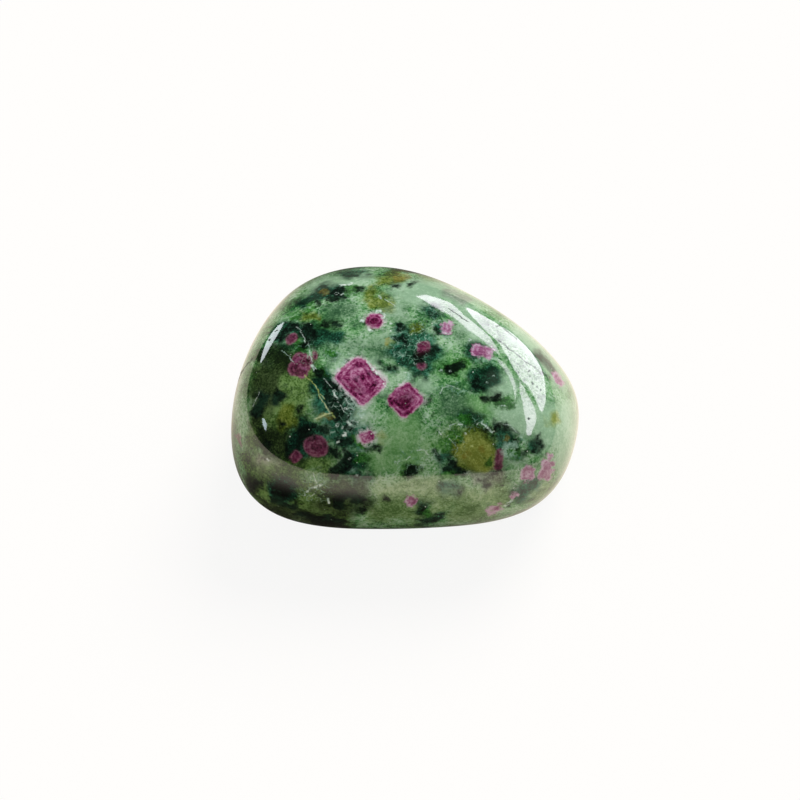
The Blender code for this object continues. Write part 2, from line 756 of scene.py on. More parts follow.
HORNBLENDE = Mineral(
    "hornblende",
    ("#010503", "#051009", "#163223"),
    (
        Grain(338, 294, 1.5, 1.0, 5),
        Grain(333, 299, 1.0, 0.5, 0),
        Grain(361, 290, 0.75, 0.4, 0),
        Grain(319, 305, 0.45, 0.33, 0),
        Grain(325, 323.5, 0.75, 0.4, 0),
        Grain(338, 326, 1.0, 0.55, 0),
        Grain(294, 327, 0.85, 0.55, -15),
        Grain(309, 331.5, 1.35, 1.6, 10, 0.9),
        Grain(304, 346, 0.7, 0.5, -50),
        Grain(282, 338, 0.5, 1.3, -30),
        Grain(278, 396, 1.25, 1.45, 10, 0.9),
        Grain(260, 405, 0.8, 2.4, -12),
        Grain(320, 375, 0.7, 0.6, 0),
        Grain(334, 387, 1.7, 0.6, -45),
        Grain(332, 403, 1.1, 1.2, 0),
        Grain(347, 401, 1.7, 0.5, -42),
        Grain(389, 369, 0.8, 0.5, 10),
        Grain(400, 327, 0.5, 0.7, 0),
        Grain(400, 338, 1.2, 0.6, 0),
        Grain(437, 349, 0.8, 0.9, 0),
        Grain(418, 358, 0.9, 1.0, 0),
        Grain(428, 353, 0.8, 0.5, 0),
        Grain(437, 331, 0.5, 0.7, 30),
        Grain(456, 366, 1.9, 0.85, 28),
        Grain(476, 381, 0.8, 0.8, 0),
        Grain(478, 387, 0.8, 0.3, 0),
        Grain(490, 398.5, 1.5, 0.6, 12),
        Grain(499, 427, 1.3, 0.6, -8),
        Grain(485, 430, 0.4, 0.4, 0),
        Grain(517, 443, 0.25, 1.3, -20),
        Grain(514, 430, 1.2, 0.2, -30),
        Grain(539, 443, 0.4, 1.3, 15),
        Grain(529, 451, 1.4, 0.35, 15),
        Grain(411.5, 470, 1.05, 1.2, -25, 0.3),
        Grain(452, 463, 1.0, 0.7, 20),
        Grain(458, 469, 1.2, 0.6, -30),
        Grain(437, 455, 0.9, 0.3, -50),
        Grain(426, 403, 0.7, 0.25, 20),
        Grain(303, 433, 1.4, 1.2, 20),
        Grain(299, 444, 0.5, 1.2, 0),
        Grain(350, 425, 1.0, 0.9, -40),
        Grain(343, 441, 1.6, 0.8, 0),
        Grain(335, 453, 0.8, 1.0, 30),
        Grain(344, 464, 2.2, 1.35, 40),
        Grain(340, 473, 1.2, 0.3, 10),
        Grain(362, 477, 1.3, 0.3, -12),
        Grain(373, 447, 1.2, 0.3, 15),
        Grain(283, 491, 1.7, 1.1, -5),
        Grain(345, 494, 1.6, 0.9, 20),
        Grain(359, 499, 1.3, 0.9, -20),
        Grain(338, 501, 1.0, 0.6, 0),
        Grain(362, 510, 0.8, 0.5, 10),
        Grain(285, 505, 2.4, 0.8, -25),
        Grain(320, 519, 4.5, 0.7, -8),
        Grain(250, 486, 0.5, 1.4, -40),
        Grain(388, 499, 0.5, 0.3, 0),
        Grain(424, 509, 0.5, 0.4, 30),
        Grain(437, 519, 1.5, 0.2, 12),
        Grain(299.5, 409, 0.35, 0.5, 0),
        Grain(283, 425, 0.4, 0.28, 0),
        Grain(260, 431, 0.28, 0.28, 0),
        Grain(269, 442, 0.6, 0.25, -30),
        Grain(287, 451, 0.3, 0.3, 0),
        Grain(286, 459, 0.5, 0.2, 40),
        Grain(543, 457, 0.2, 0.2, 0),
        Grain(500.5, 471.5, 0.16, 0.14, 0),
        Grain(501, 485.5, 0.14, 0.14, 0),
        Grain(485.5, 491.7, 0.2, 0.14, 0),
        Grain(459, 491, 0.3, 0.25, 0),
        Grain(490, 478, 0.9, 0.16, 55),
        Grain(486, 486, 0.7, 0.16, 75),
        Grain(480, 481, 0.5, 0.14, -20),
        Grain(326, 385, 1.0, 0.8, -45),
        Grain(338, 411, 1.1, 0.9, -40),
        Grain(329, 397, 0.9, 0.8, 0),
        Grain(322, 428, 1.8, 0.7, -8),
        Grain(506, 507, 0.35, 0.16, 20),
        Grain(433, 414, 0.18, 0.14, 0),
        Grain(348, 360, 0.28, 0.24, 0),
        Grain(384, 371, 0.3, 0.2, 30),
        Grain(546, 376, 0.15, 0.7, 40),
        Grain(411, 284, 0.6, 0.35, 30),
        Grain(395, 286, 0.9, 0.3, 10),
        Grain(396, 368, 0.5, 0.35, 10),
        Grain(266, 458, 0.3, 0.14, 0),
        Grain(255, 458, 0.14, 0.3, 20),
        Grain(262, 445, 0.8, 0.1, 10),
    ),
    fade_mm=0.24,
    ragged_mm=0.17,
    cover=0.97,
    strewn=130,
    sizes_mm=(0.2, 1.7),
    beside="blue-green haze of fine hornblende",
)

PARTING = Mineral(
    "pale partings in ruby",
    ("#8a4a72", "#ad6f95", "#d3a6c2"),
    (
        Grain(351, 379.5, 0.5, 0.12, 60),
        Grain(355, 376.5, 0.6, 0.14, -20),
        Grain(359.5, 381, 0.8, 0.16, -50),
        Grain(363, 387, 0.7, 0.2, -60),
        Grain(360, 391.5, 0.8, 0.16, -20),
        Grain(366, 393.5, 0.7, 0.14, -35),
        Grain(353, 370.5, 0.8, 0.1, 35),
        Grain(369, 371, 1.5, 0.12, -52),
        Grain(376, 382, 1.0, 0.1, -60),
        Grain(345, 384, 1.0, 0.1, -40),
        Grain(366.5, 400, 0.9, 0.12, 40),
        Grain(402, 391, 1.1, 0.12, -12),
        Grain(398, 396, 0.9, 0.1, 65),
        Grain(411, 394, 0.7, 0.1, 50),
        Grain(414, 403, 0.9, 0.1, -50),
        Grain(400, 410, 0.9, 0.14, -35),
        Grain(298, 360, 0.6, 0.1, 40),
        Grain(303, 368, 0.6, 0.1, -20),
    ),
    fade_mm=0.12,
    ragged_mm=0.16,
    cover=0.42,
    crisp=True,
)

CALCITE = Mineral(
    "hair veins of calcite",
    ("#a4c4b4", "#cbe0d4", "#f0f7f1"),
    (
        Grain(299, 329, 0.6, 0.02, -40),
        Grain(303, 336, 0.9, 0.02, -58),
        Grain(306, 342, 0.5, 0.12, -40),
        Grain(309, 348, 1.3, 0.05, -72),
        Grain(311, 360, 1.3, 0.05, -78),
        Grain(313, 366, 0.9, 0.3, -60),
        Grain(286, 354, 1.0, 0.04, -38),
        Grain(292, 361, 0.7, 0.05, -50),
        Grain(335, 395, 0.9, 0.14, -58),
        Grain(347, 401, 1.2, 0.02, -48),
        Grain(350, 398, 1.3, 0.02, -48),
        Grain(341, 407, 1.2, 0.02, -60),
        Grain(327, 382, 0.9, 0.01, -52),
        Grain(333, 389, 0.6, 0.02, -42),
        Grain(344, 434, 0.42, 0.36, 10, 1.0),
        Grain(352, 409, 0.5, 0.04, -40),
        Grain(358, 412, 0.7, 0.04, 20),
        Grain(361, 418, 0.5, 0.04, 60),
        Grain(355, 421, 0.6, 0.03, -20),
        Grain(349, 415, 0.5, 0.03, 50),
        Grain(363, 409, 0.5, 0.05, -10),
        Grain(346, 409, 0.4, 0.18, 0),
        Grain(371, 366, 1.4, 0.1, -50),
        Grain(375, 371, 0.8, 0.26, -50),
        Grain(381, 377, 1.1, 0.12, -55),
        Grain(384, 384, 0.5, 0.2, -60),
        Grain(337, 425, 0.3, 0.3, 0),
        Grain(349, 423, 0.5, 0.2, -45),
        Grain(338, 442, 0.35, 0.16, 20),
        Grain(343, 428, 0.2, 0.2, 0),
        Grain(350, 459, 0.25, 0.12, 40),
        Grain(357, 476, 0.2, 0.18, 0),
        Grain(350, 284, 0.5, 0.2, 20),
        Grain(343, 285, 0.6, 0.16, -5),
        Grain(337, 293, 0.35, 0.2, 0),
        Grain(342, 294, 0.3, 0.12, 30),
        Grain(380, 297, 0.35, 0.18, -40),
        Grain(388, 301, 0.8, 0.05, -38),
        Grain(393, 305, 0.6, 0.03, -38),
        Grain(383, 316, 0.35, 0.45, 0),
        Grain(379, 311, 0.6, 0.3, 0),
        Grain(362, 321, 0.5, 0.35, 0),
        Grain(370, 330, 0.5, 0.16, -20),
        Grain(391, 323, 0.16, 0.16, 0),
        Grain(391, 331, 0.16, 0.16, 0),
        Grain(445, 388, 0.6, 0.05, 10),
        Grain(450, 386, 0.7, 0.04, -10),
        Grain(459, 389, 0.8, 0.04, -18),
        Grain(441, 391, 0.4, 0.08, 50),
        Grain(453, 425, 0.7, 0.04, 25),
        Grain(461, 424, 0.4, 0.1, 0),
        Grain(478, 424, 0.7, 0.05, 30),
        Grain(484, 425, 0.6, 0.2, -30),
        Grain(490, 430, 0.7, 0.2, -40),
        Grain(505, 424, 1.2, 0.03, -20),
        Grain(515, 431, 0.9, 0.02, -38),
        Grain(440, 433, 0.5, 0.1, -50),
        Grain(453, 443, 1.2, 0.02, -48),
        Grain(465, 434, 0.2, 0.2, 0),
        Grain(419, 450, 0.5, 0.08, 15),
        Grain(426, 452, 0.7, 0.03, -40),
        Grain(408, 458, 0.5, 0.1, 25),
        Grain(400, 461, 0.5, 0.06, 20),
        Grain(396, 463, 0.4, 0.16, -40),
        Grain(466, 473, 0.25, 0.1, -20),
        Grain(470, 340, 0.25, 0.2, 0),
        Grain(446, 334, 0.2, 0.2, 0),
        Grain(415, 364, 0.25, 0.12, -45),
        Grain(441, 370, 0.18, 0.14, 0),
        Grain(450, 371, 0.16, 0.14, 0),
        Grain(493, 376, 0.2, 0.1, 20),
        Grain(487, 382, 0.14, 0.14, 0),
        Grain(419, 352, 0.3, 0.12, -30),
        Grain(509, 503, 0.9, 0.22, 42),
        Grain(503, 406, 0.4, 0.1, 0),
        Grain(315, 478, 1.0, 0.06, -70),
        Grain(318, 486, 0.8, 0.2, 25),
        Grain(310, 490, 0.7, 0.16, 35),
        Grain(304, 495, 0.3, 0.2, 0),
        Grain(311, 496, 1.1, 0.02, 42),
        Grain(328, 501, 0.6, 0.16, -80),
        Grain(268, 460, 0.3, 0.12, -50),
        Grain(256, 399, 1.4, 0.02, 68),
    ),
    fade_mm=0.06,
    ragged_mm=0.1,
    crisp=True,
    gaps=Gaps.GRIT,
)

PALE_FLECKS = Mineral(
    "pale flecks of zoisite",
    ("#5f8f7a", "#8ab39e", "#b9d8c8"),
    (
        Grain(358, 414, 1.5, 0.9, 35),
        Grain(349, 411, 0.6, 0.25, -40),
        Grain(353, 420, 0.5, 0.3, 20),
        Grain(343, 396, 0.8, 0.2, -48),
        Grain(352, 404, 0.9, 0.22, -42),
        Grain(350, 427, 0.6, 0.25, -40),
        Grain(360, 425, 0.3, 0.6, 20),
        Grain(379, 377, 0.4, 1.3, 42),
        Grain(342, 367, 1.2, 0.4, 42),
        Grain(407, 375, 0.3, 0.8, 5),
        Grain(371, 443, 0.8, 0.25, 35),
        Grain(362, 451, 0.8, 0.2, -10),
        Grain(353, 470, 0.5, 0.3, 10),
        Grain(512, 447, 1.4, 1.3, 20),
        Grain(523, 440, 0.4, 0.9, 0),
        Grain(487, 360, 1.4, 0.3, -10),
    ),
    fade_mm=0.2,
    ragged_mm=0.2,
    cover=0.6,
    strewn=60,
    sizes_mm=(0.25, 0.9),
    beside="blue-green haze of fine hornblende",
    gaps=Gaps.GRIT,
)

WEB = Mineral(
    "web of fine veins",
    ("#5f8d76", "#88b29b", "#c3ddcd"),
    (
        Grain(349, 412, 3.2, 2.4, -30),
        Grain(345, 430, 2.4, 1.4, 0),
        Grain(455, 390, 2.6, 0.7, -10),
        Grain(455, 438, 2.2, 1.8, 0),
        Grain(420, 457, 4.2, 1.6, 15),
        Grain(311, 354, 1.0, 2.2, 25),
        Grain(340, 350, 1.8, 1.4, 0),
        Grain(410, 345, 3.2, 2.8, 0),
        Grain(432, 318, 2.2, 1.8, 0),
        Grain(314, 487, 1.9, 2.8, -30),
        Grain(470, 425, 3.6, 0.8, 10),
    ),
    fade_mm=0.5,
    ragged_mm=0.5,
    cover=0.7,
    strewn=40,
    sizes_mm=(0.8, 3.0),
    gaps=Gaps.NET,
)

IRON_STAIN = Mineral(
    "iron stain",
    ("#6d5a17", "#8f7a2c", "#b0a04e"),
    (
        Grain(481, 449, 0.8, 0.55, 10),
        Grain(321, 416, 1.4, 0.14, 20),
        Grain(332, 411, 0.4, 0.12, -20),
        Grain(380, 433, 0.4, 0.2, -20),
        Grain(314, 319, 0.9, 0.14, 22),
        Grain(400, 277, 1.6, 0.3, 20),
        Grain(325, 291, 0.6, 0.3, 0),
        Grain(466, 456, 0.4, 0.3, 0),
        Grain(507, 438, 0.4, 0.3, 30),
        Grain(389, 341, 0.6, 0.14, 20),
    ),
    fade_mm=0.16,
    ragged_mm=0.2,
    cover=0.4,
)

YELLOW_VEINS = Mineral(
    "hair veins of epidote",
    ("#7f9046", "#a9b766", "#d6dfae"),
    (
        Grain(309, 379, 1.0, 0.03, -45),
        Grain(315, 386, 0.9, 0.03, -55),
        Grain(319, 394, 0.9, 0.03, -75),
        Grain(325, 405, 1.5, 0.03, -58),
        Grain(331, 414, 0.9, 0.03, -48),
        Grain(320, 417, 1.1, 0.08, 20),
        Grain(328, 414, 0.7, 0.1, 14),
        Grain(322, 396, 0.7, 0.03, -50),
        Grain(465, 452, 1.2, 0.02, -45),
        Grain(470, 458, 1.3, 0.02, -52),
        Grain(477, 464, 1.4, 0.02, -60),
        Grain(479, 454, 1.0, 0.02, -55),
        Grain(468, 447, 0.5, 0.04, 10),
        Grain(472, 446, 0.3, 0.2, 0),
        Grain(462, 446, 0.5, 0.03, 60),
    ),
    fade_mm=0.06,
    ragged_mm=0.05,
    cover=0.85,
    crisp=True,
)

FLAWS = Mineral(
    "cracks and pits",
    ("#10201a", "#24382d", "#3c5243"),
    (
        Grain(453, 311.5, 1.2, 0.07, -36),
        Grain(463, 318, 1.2, 0.06, -30),
        Grain(503, 344, 1.2, 0.05, -36),
        Grain(513, 351.5, 1.4, 0.06, -38),
        Grain(525, 360.5, 1.4, 0.06, -38),
        Grain(536, 369, 1.3, 0.05, -42),
        Grain(507, 331, 0.9, 0.05, -38),
        Grain(514, 337, 0.8, 0.05, -40),
        Grain(497, 326, 0.4, 0.05, 20),
        Grain(246, 366, 1.8, 0.06, 48),
        Grain(240, 376, 1.2, 0.05, 62),
        Grain(523, 366, 0.14, 0.14, 0),
        Grain(529, 371, 0.14, 0.3, -30),
        Grain(530, 376, 0.14, 0.14, 0),
        Grain(533, 383, 0.14, 0.28, 20),
        Grain(537, 387, 0.14, 0.14, 0),
        Grain(541, 390, 0.16, 0.22, 20),
        Grain(518, 372, 0.12, 0.12, 0),
        Grain(529, 419, 0.2, 0.18, 0),
        Grain(276, 331, 0.3, 0.1, 30),
        Grain(270, 340, 0.16, 0.12, 30),
    ),
    fade_mm=0.05,
    ragged_mm=0.02,
    cover=0.9,
    crisp=True,
)

# From the lowest layer to the top one. A mineral stands after the one whose grains it keeps close to.
MINERALS = (
    OLIVE_ROCK,
    GRASS_ROCK,
    FRESH_ROCK,
    GREY_ROCK,
    MILKY_ROCK_AND_PAINTED_LIGHT,
    STRAW_ROCK,
    MAUVE_ROCK,
    DARK_OLIVE_ROCK_AND_PAINTED_SHADE,
    DARK_HAZE,
    EPIDOTE,
    PALE_EPIDOTE,
    CHLORITE,
    IRON_STAIN,
    MUTED_RUBY,
    HORNBLENDE,
    PALE_FLECKS,
    WEB,
    RUBY,
    DEEP_HEARTS,
    PALE_RUBY_AND_PAINTED_REFLECTION,
    PARTING,
    CALCITE,
    YELLOW_VEINS,
    FLAWS,
)


@dataclass
class Rock:
    """Where the minerals lie: how far each point of the skin is from the nearest grain of each."""

    view: PhotoView
    skin: TumbledSkin
    # The seeds of the strewn grains and of the outlines. Without one, Blender's noise starts from the clock.
    seed: int = 11
    wander_seed: int = 2
    # The rock flowed while it formed: grain outlines wander by this much, over this distance.
    wander_mm: tuple[tuple[float, float], ...] = ((0.42, 1.9), (0.32, 0.75))
    wander_octaves: int = 2
    # The photograph doesn't show skin that faces the camera with a cosine under this.
    least_seen: float = 0.12
    # A block reaches deeper where the skin slopes away from the camera: the steepest and the least slope
    # that count, and what is added.
    least_facing: float = 0.35
    least_slope: float = 0.4
    depth_mm: float = 0.4
    # A strewn grain lies about this far from the one that it keeps close to.
    company_mm: float = 1.6
    # Its breadth as a share of its length, and its rounding as a share of its half breadth.
    breadth_share: tuple[float, float] = (0.45, 0.95)
    rounding_share: tuple[float, float] = (0.3, 0.9)
    # The distance where no grain is.
    nowhere_mm: float = 1000.0

    def survey(self, stone: bpy.types.Object) -> None:
        """Give each point of the stone one number for each mineral: its distance in millimetres.

        Args:
            stone: The stone.
        """
        mesh = stone.data
        points = vertex_rows(mesh, "co") / MM
        normals = vertex_rows(mesh, "normal")
        _, _, ahead = self.view.axes()
        hidden = np.nonzero(normals @ ahead > -self.least_seen)[0]
        wandered = self._wander(points)
        chance = np.random.default_rng(self.seed)
        seats: dict[str, list[int]] = {}
        for mineral in MINERALS:
            placed = self._placed(mineral, points if mineral.crisp else wandered)
            # Nodes measure a crisp mineral's placed grains, so its first number is for strewn ones alone.
            distance = np.full(len(points), self.nowhere_mm) if mineral.crisp else placed
            seats[mineral.name] = []
            for _ in range(mineral.strewn):
                seat = self._seat(points, hidden, seats.get(mineral.beside), chance)
                seats[mineral.name].append(seat)
                block = self._lie(wandered[seat], normals[seat], mineral, chance)
                distance = np.minimum(distance, self._distance(wandered, *block))
            self._store(mesh, mineral.name, distance)
            if mineral.zoned:
                self._store(mesh, mineral.name + DEPTH, np.minimum(distance, placed))

    @staticmethod
    def _store(mesh: bpy.types.Mesh, name: str, values: np.ndarray) -> None:
        """Keep one number for each point of a mesh under a name."""
        mesh.attributes.new(name, "FLOAT", "POINT").data.foreach_set("value", values.astype(np.float32))

    def _placed(self, mineral: Mineral, points: np.ndarray) -> np.ndarray:
        """Measure how far points lie from the nearest of a mineral's placed grains.

        Args:
            mineral: The mineral.
            points: The points in millimetres, wandered unless the mineral is crisp.

        Returns:
            A distance for each point.
        """
        distance = np.full(len(points), self.nowhere_mm)
        for grain in mineral.grains:
            centre, *shape = self.block(grain)
            if not mineral.crisp:
                centre = self._wander(centre[None])[0]
            distance = np.minimum(distance, self._distance(points, centre, *shape))
        return distance

    def block(self, grain: Grain) -> Block:
        """Set a grain in the skin where its pixel shows it.

        Args:
            grain: The grain.

        Returns:
            Its block in millimetres.
        """
        right, up, ahead = self.view.axes()
        ray = self.view.ray(grain.x_px, grain.y_px)
        centre = self.skin.meet(self.view.eye(self.skin.heart), ray)
        facing = max(float(-ray @ self.skin.outward(centre)), self.least_facing)
        slope = math.sqrt(1 - facing**2) / facing
        half = np.array((grain.length_mm, grain.breadth_mm, 0.0)) / 2
        half[2] = half.max() * max(slope, self.least_slope) + self.depth_mm
        rounding = float(half[:2].min()) * grain.rounding
        turn = math.radians(grain.turn_deg)
        along = right * math.cos(turn) + up * math.sin(turn)
        across = up * math.cos(turn) - right * math.sin(turn)
        return centre, np.stack((along, across, -ahead)), np.maximum(half - rounding, 0.0), rounding

    def _seat(
        self, points: np.ndarray, hidden: np.ndarray, company: list[int] | None, chance: np.random.Generator
    ) -> int:
        """Draw a point for a strewn grain, out of the photograph's sight.

        Args:
            points: The skin's points in millimetres.
            hidden: The numbers of those that the photograph doesn't show.
            company: The points of the grains that it keeps close to, if it keeps close to any.
            chance: The source of draws.

        Returns:
            The point's number.
        """
        if not company:
            return int(chance.choice(hidden))
        host = points[chance.choice(company)]
        host = host + chance.normal(0, self.company_mm, 3)
        return int(hidden[np.linalg.norm(points[hidden] - host, axis=1).argmin()])

    def _lie(
        self, seat: np.ndarray, normal: np.ndarray, mineral: Mineral, chance: np.random.Generator
    ) -> Block:
        """Lay a strewn grain flat in the skin, with a drawn size and turn.

        Args:
            seat: Where it lies.
            normal: The skin's normal there.
            mineral: Its mineral.
            chance: The source of draws.

        Returns:
            Its block in millimetres.
        """
        least, largest = mineral.sizes_mm
        length = least * (largest / least) ** chance.random()
        breadth = length * chance.uniform(*self.breadth_share)
        along = np.cross(normal, chance.normal(0, 1, 3))
        along /= np.linalg.norm(along)
        axes = np.stack((along, np.cross(normal, along), normal))
        half = np.array((length, breadth, length)) / 2
        rounding = breadth / 2 * chance.uniform(*self.rounding_share)
        return seat, axes, half - rounding, rounding

    def _wander(self, points: np.ndarray) -> np.ndarray:
        """Shift points by slow noise, so that straight edges come out as grown ones.

        Args:
            points: The points in millimetres.

        Returns:
            The shifted points.
        """
        shifted = points.copy()
        noise.seed_set(self.wander_seed)
        for reach, span in self.wander_mm:
            pull = [
                noise.turbulence_vector(Vector(point / span), self.wander_octaves, False) for point in points
            ]
            shifted += reach * np.array(pull)
        return shifted

    @staticmethod
    def _distance(
        points: np.ndarray, centre: np.ndarray, axes: np.ndarray, core: np.ndarray, rounding: float
    ) -> np.ndarray:
        """Measure how far points lie from a block with rounded edges.

        Args:
            points: The points in millimetres.
            centre: The block's centre.
            axes: Its unit axes as rows.
            core: The half sizes of its core.
            rounding: How far the block reaches beyond its core.

        Returns:
            A distance for each point.
        """
        beyond = np.abs((points - centre) @ axes.T) - core
        outside = np.linalg.norm(np.maximum(beyond, 0.0), axis=1)
        return outside + np.minimum(beyond.max(axis=1), 0.0) - rounding


@dataclass
class RubyInZoisite:
    """Polished ruby in zoisite: opaque green rock with crystals, under a wet-looking gloss."""

    view: PhotoView
    rock: Rock
    # Matrix colours from its darkest fine grains to its milky ones.
    matrix: tuple[str, ...] = ("#164620", "#326d39", "#548c51", "#76a772", "#9dc29a")
    # Each mottling: how wide its blobs are in mm, how many finer octaves it has, and how rough they are.
    # The dust is really under 0.05 mm, and is drawn as coarse as it needs to show.
    mottlings: tuple[tuple[str, float, float, float], ...] = (
        ("cloud", 4.2, 2.0, 0.5),
        ("coarse", 1.5, 5.0, 0.5),
        ("fine", 0.26, 3.0, 0.7),
        ("dust", 0.1, 2.0, 0.8),
        ("drift", 0.4, 2.0, 0.6),
        ("warp", 0.45, 4.0, 0.6),
        ("strands", 0.9, 3.0, 0.55),
        ("threads", 0.4, 3.0, 0.55),
        ("coats", 0.8, 3.0, 0.55),
        ("blotches", 0.5, 2.0, 0.5),
    )
    # How much of each mottling goes into the rock, and how much into a ruby.
    rock_weights: tuple[tuple[str, float], ...] = (
        ("cloud", 0.7),
        ("coarse", 1.85),
        ("fine", 0.8),
        ("dust", 1.6),
        ("grains", 0.3),
    )
    ruby_weights: tuple[tuple[str, float], ...] = (
        ("coarse", 0.5),
        ("fine", 0.6),
        ("dust", 1.0),
        ("grains", 0.12),
    )
    # Widths of the rock's grains, of the meshes in its nets of veins, and of the room round each speck.
    grain_mm: float = 0.3
    net_mm: float = 0.7
    speck_room_mm: float = 0.6
    # How far veins and crystals' faces waver, from one extreme to the other.
    vein_waver_mm: float = 0.24
    face_waver_mm: float = 0.11
    # Noise mostly stays within a quarter of its middle: times this, it swings by one to either side.
    swing: float = 4.0
    # The coarse mottling pushes edges that fade over more than this, and the fine one all others.
    soft_edge_mm: float = 0.25
    # Where an edge's fade starts and ends, in widths of the fade.
    fade_reach: tuple[float, float] = (-0.7, 1.3)
    # Which fine mottling lets a gritty mineral through, or a net of veins, and how thick these are.
    grit: Fade = Fade(0.41, 0.55)
    net_gaps: Fade = Fade(0.42, 0.6)
    net_vein: Fade = Fade(0.0, 0.07, 1.0, 0.0)
    # Rubies grew in coats: how far apart their growth lines lie, and by how many radians these waver.
    coat_mm: float = 0.45
    coat_waver: float = 15.0
    # What makes a ruby paler or deeper: the depth in mm near its faces and at its heart, its partings,
    # its growth lines, and its blotches with what then brings its shade to the middle of its colours.
    pale_face: Fade = Fade(-0.22, 0.0, 0.0, 0.3)
    deep_heart: Fade = Fade(-1.2, -0.35, -0.1, 0.0)
    parting: Fade = Fade(0.0, 0.09, 0.12, 0.0)
    growth_line: Fade = Fade(0.0, 1.0, 0.0, 0.23)
    blotches: tuple[float, float] = (1.4, -0.82)
    # The pale rim round large rubies: how far it reaches in mm, its grit, and the stretches that it covers.
    rim_colour: str = "#d6ced1"
    rim_reach: Fade = Fade(0.1, 0.44, 1.0, 0.0)
    rim_grit: Fade = Fade(0.45, 0.55, 0.0, 0.95)
    rim_stretches: Fade = Fade(0.4, 0.56)
    # Hair-fine filaments follow the middle level of two mottlings: which, how thin, and how strong.
    filament_colour: str = "#b6d0b8"
    filaments: tuple[tuple[str, float, float], ...] = (("strands", 0.024, 0.7), ("threads", 0.034, 0.5))
    filament_patches: Fade = Fade(0.38, 0.56)
    # Specks: their radius by chance and their edge, both in widths of their room, and how they swarm
    # near the dark haze, by the distance in mm.
    speck_colour: str = "#dbe7d8"
    speck_radius: Fade = Fade(0.45, 1.0, 0.0, 0.14)
    speck_edge: Fade = Fade(0.0, 0.05, 0.0, 0.9)
    speck_swarm: Fade = Fade(0.0, 0.8, 1.0, 0.3)
    # Zoisite's index, and the roughness of the polish and of the cracks and pits that it doesn't reach.
    ior: float = 1.69
    roughness: Fade = Fade(0.0, 1.0, 0.05, 0.6)
    # Grains of unlike hardness polish to slightly unlike heights.
    ripple_mm: float = 0.004
    ripple_strength: float = 0.5
    tree: bpy.types.NodeTree = field(init=False, default=None)
    # Where the shaded point lies in mm, and the noises that mottle the rock there.
    place: bpy.types.Node = field(init=False, default=None)
    layers: dict[str, bpy.types.Node] = field(init=False, default_factory=dict)
    # How far that is from the net's veins, and the mottlings of the rock and of a ruby.
    net: bpy.types.Node = field(init=False, default=None)
    mottle: bpy.types.Node = field(init=False, default=None)
    sparkle: bpy.types.Node = field(init=False, default=None)
    # The groups that measure the distance to a grain, by whether it is turned.
    distance_groups: dict[bool, bpy.types.NodeTree] = field(init=False, default_factory=dict)

    def material(self) -> bpy.types.Material:
        """Make the material.

        Returns:
            The finished material.
        """
        # Tumbled in ever finer grit: the eye gets crisp highlights on colour that lies in the rock itself.
        material = bpy.data.materials.new("tumbled ruby in zoisite")
        material.use_nodes = True
        self.tree = tree = material.node_tree
        shader = tree.nodes["Principled BSDF"]
        self._noises()
        colour, flaws = self._minerals()
        colour = self._specks(colour)
        gloss = add(tree, "MapRange", self.roughness.along(flaws))
        links = {"Strength": self.ripple_strength, "Distance": self.ripple_mm * MM}
        ripple = add(tree, "Bump", links | {"Height": self.layers["fine"]})
        feed(shader, {"Base Color": colour, "IOR": self.ior, "Roughness": gloss, "Normal": ripple})
        return material

    def _noises(self) -> None:
        """Make the place, the groups and the noises that the minerals share."""
        tree = self.tree
        coordinates = add(tree, "TexCoord")
        links = {0: coordinates.outputs["Object"], "Scale": 1 / MM}
        self.place = add(tree, "VectorMath", links, operation="SCALE")
        self.distance_groups = {turned: self._distance_group(turned) for turned in (False, True)}
        for name, size_mm, octaves, roughness in self.mottlings:
            # A blob and the gap beside it make one period of the noise.
            links = {"Vector": self.place, "Scale": 0.5 / size_mm, "Detail": octaves, "Roughness": roughness}
            self.layers[name] = add(tree, "TexNoise", links)
        links = {0: self.place, 1: self.layers["drift"].outputs["Color"]}
        drift = add(tree, "VectorMath", links, operation="ADD")
        links = {"Vector": drift, "Scale": 1 / self.net_mm}
        self.net = add(tree, "TexVoronoi", links, feature="DISTANCE_TO_EDGE")
        cells = add(tree, "TexVoronoi", {"Vector": drift, "Scale": 1 / self.grain_mm}, feature="F1")
        self.layers["grains"] = add(tree, "SeparateColor", {0: cells.outputs["Color"]})
        self.mottle = self._mottling(self.rock_weights)
        self.sparkle = self._mottling(self.ruby_weights)

    def _minerals(self) -> tuple[bpy.types.Node, bpy.types.Node]:
        """Lay all minerals over the matrix.

        Returns:
            The node with the colour, and the node with how much the last mineral covers: the last is
            no mineral but the cracks and pits.
        """
        tree = self.tree
        wavy = self._warped(self.vein_waver_mm)
        faceted = self._warped(self.face_waver_mm)
        colour = add(tree, "ValToRGB", {"Fac": self.mottle})
        spread(colour.color_ramp, self.matrix)
        colour = self._filaments(colour)
        for mineral in MINERALS:
            soft = mineral.fade_mm > self.soft_edge_mm
            distance = add(tree, "Attribute", attribute_name=mineral.name).outputs["Fac"]
            if mineral.crisp:
                distance = self._nearest(mineral, distance, faceted if mineral.zoned else wavy)
            if mineral.rimmed:
                colour = self._rim(colour, distance)
            value = self._coats(mineral) if mineral.zoned else self.mottle
            body = add(tree, "ValToRGB", {"Fac": value})
            spread(body.color_ramp, mineral.colours)
            cover = self._cover(mineral, distance, self.layers["coarse" if soft else "fine"])
            colour = add(tree, "Mix", {"Factor": cover, "A": colour, "B": body}, data_type="RGBA")
        return colour, cover

